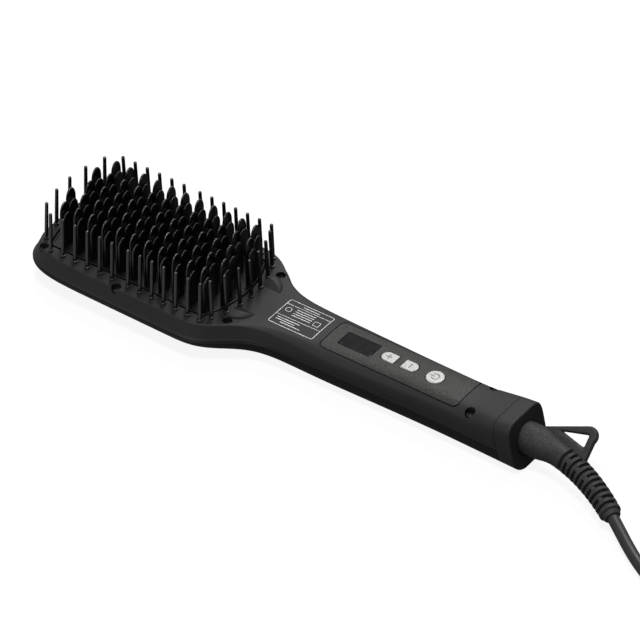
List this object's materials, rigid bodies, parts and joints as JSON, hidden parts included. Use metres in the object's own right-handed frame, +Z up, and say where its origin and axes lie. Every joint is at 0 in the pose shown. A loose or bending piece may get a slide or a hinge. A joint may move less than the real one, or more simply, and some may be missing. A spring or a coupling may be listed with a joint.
{
  "type": "heated straightening brush",
  "caption": "Heated hair brush: wide head with rows of heated fins, guard leaves and guard pins, slim handle with display and buttons, swivelling cord in a coil.",
  "frame": {"origin": "floor, under the middle of the body's box without the cord; the brush lies on its back", "axes": "+X from the head along the handle to the cord, +Y to the far side, +Z up along the bristles"},
  "size_m": [0.4402, 0.1219, 0.0444],
  "materials": {
    "shell_black": "fine satin-matte moulded black",
    "back_black": "satin-matte moulded black",
    "panel_dark": "matte, finely speckled dark grey",
    "display_gloss": "smoked, smooth",
    "led_block": "matte",
    "button_silver": "light silver, finely speckled",
    "switch_grey": "matte",
    "board_green": "solder mask",
    "board_brown": "bare laminate",
    "coated_metal": "dark non-stick coating, smooth",
    "comb_black": "smooth, heat resistant",
    "pin_black": "smooth",
    "ceramic": "unglazed ceramic",
    "steel": "plain",
    "mica": "layered sheet",
    "tray_black": "moulded",
    "bead_brown": "dipped resin",
    "resin_black": "potted",
    "wire_red": "silicone",
    "wire_white": "silicone",
    "wire_blue": "silicone",
    "screw_black": "blackened",
    "brass": "plain",
    "guard_rubber": "matte, lightly grained",
    "cord_pvc": "satin",
    "tie_black": "matte",
    "blade_nickel": "plain"
  },
  "bodies": {
    "brush": {"top_shell": "shell_black", "bottom_shell": "back_black", "end_cap": "shell_black", "control_panel": "panel_dark", "display_window": "display_gloss", "display_module": "led_block", "tact_switches": "switch_grey", "control_board": "board_green", "power_board": "board_brown", "heater_plate": "coated_metal", "leaf_comb": "comb_black", "guard_pins": "pin_black", "heating_element": "ceramic", "pressing_plate": "steel", "insulation_sheet": "mica", "heater_tray": "tray_black", "thermistor": "bead_brown", "thermal_fuse": "steel", "ion_generator": "resin_black", "ion_needles": "steel", "ion_leads": "wire_red", "outlet_hoods": "shell_black", "head_screws": "screw_black", "handle_screws": "screw_black", "board_screws": "steel", "heater_leads": "wire_white", "supply_leads": "wire_blue", "swivel_socket": "tray_black", "contact_springs": "brass", "cord_lead": "cord_pvc", "cord_coil": "cord_pvc", "cord_tail": "cord_pvc", "cord_tie": "tie_black", "plug_body": "cord_pvc", "plug_blades": "blade_nickel"},
    "plus_key": {"plus_button": "button_silver"},
    "minus_key": {"minus_button": "button_silver"},
    "power_key": {"power_button": "button_silver"},
    "cord_swivel": {"cord_boot": "guard_rubber", "swivel_clip": "steel", "slip_rings": "brass"}
  },
  "joints": [
    {"name": "plus_press", "type": "slide", "parent": "brush", "child": "plus_key", "axis": [0, 0, 1], "range_m": [-0.0003, 0], "stiffness_N_per_m": 600},
    {"name": "minus_press", "type": "slide", "parent": "brush", "child": "minus_key", "axis": [0, 0, 1], "range_m": [-0.0003, 0], "stiffness_N_per_m": 600},
    {"name": "power_press", "type": "slide", "parent": "brush", "child": "power_key", "axis": [0, 0, 1], "range_m": [-0.0003, 0], "stiffness_N_per_m": 600},
    {"name": "swivel_turn", "type": "hinge", "parent": "brush", "child": "cord_swivel", "pos_m": [0.1313, 0, 0.013], "axis": [-1, 0, 0], "continuous": true, "deforming": ["cord_lead"]}
  ]
}
